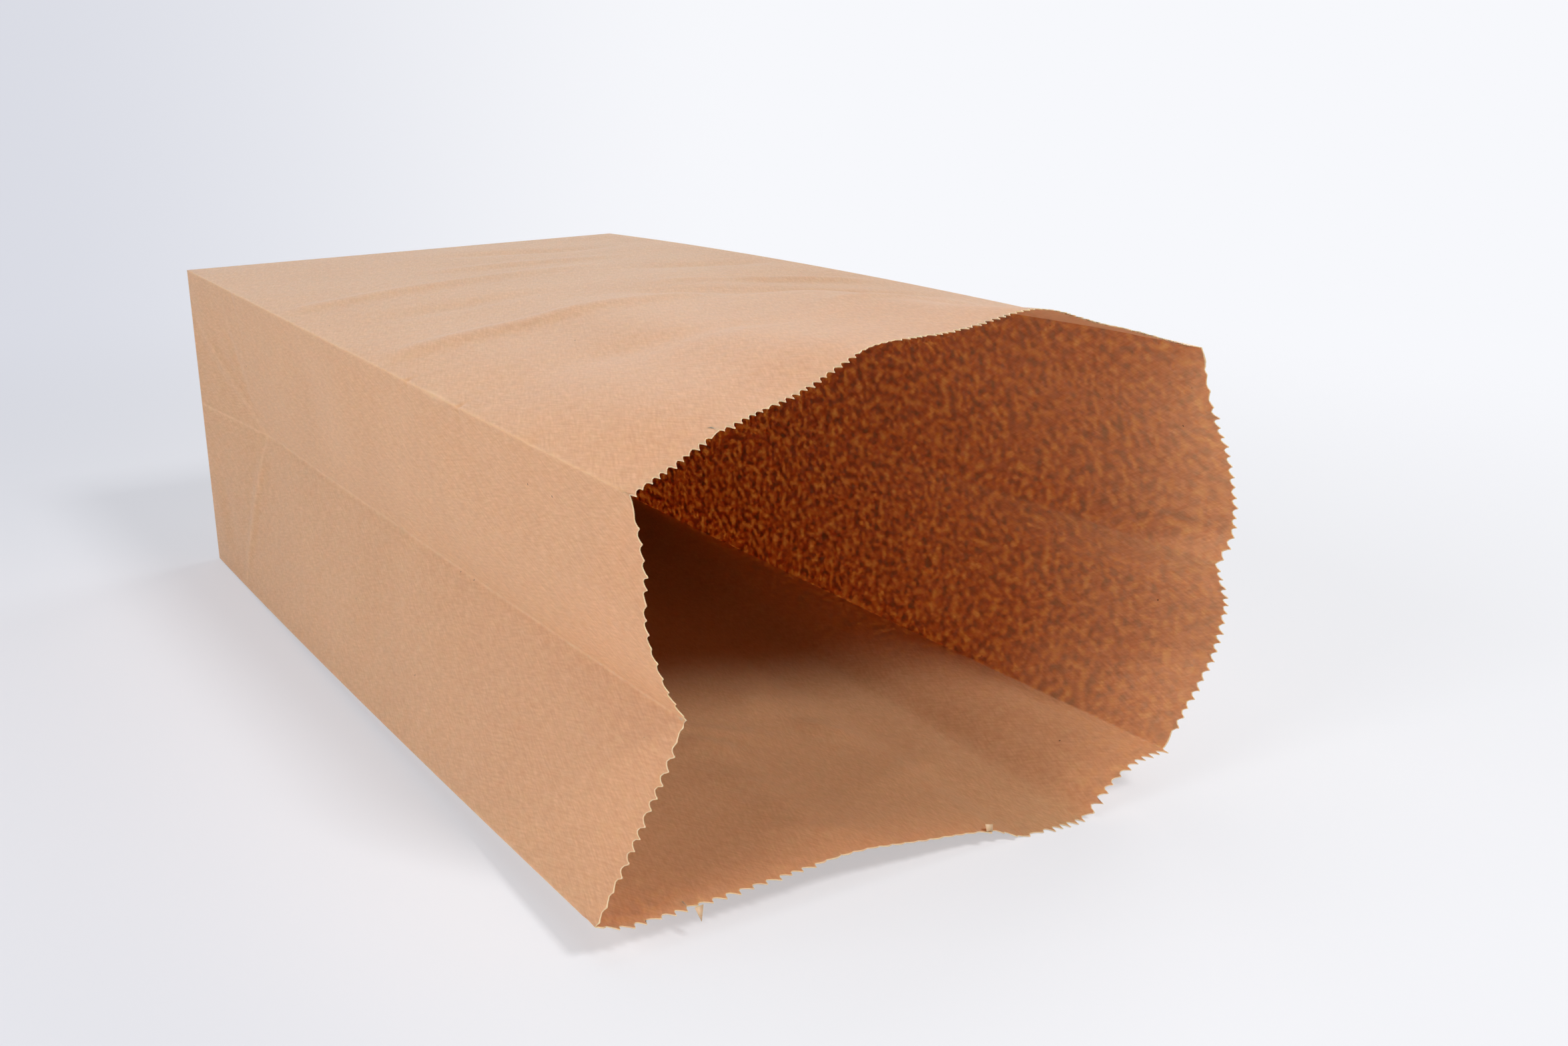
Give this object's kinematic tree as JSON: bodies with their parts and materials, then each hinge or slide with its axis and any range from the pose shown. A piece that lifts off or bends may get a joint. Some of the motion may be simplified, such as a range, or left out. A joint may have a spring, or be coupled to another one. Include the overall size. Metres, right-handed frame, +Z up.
{
  "type": "paper lunch bag",
  "caption": "Open kraft paper lunch bag lying on one broad side, with pleated gussets, a flat closed bottom and a saw-toothed mouth edge.",
  "frame": {"origin": "centre of the bag's outline, on the table the bag lies on", "axes": "+Z up from the table, -Y out of the open mouth, +Y out of the closed bottom panel, +X to the right as seen from the mouth"},
  "size_m": [0.167, 0.3204, 0.1242],
  "materials": {
    "kraft_paper": "uncoated brown kraft paper, matt, slightly see-through against light"
  },
  "bodies": {
    "root": {"paper_bag": "kraft_paper"}
  },
  "joints": []
}
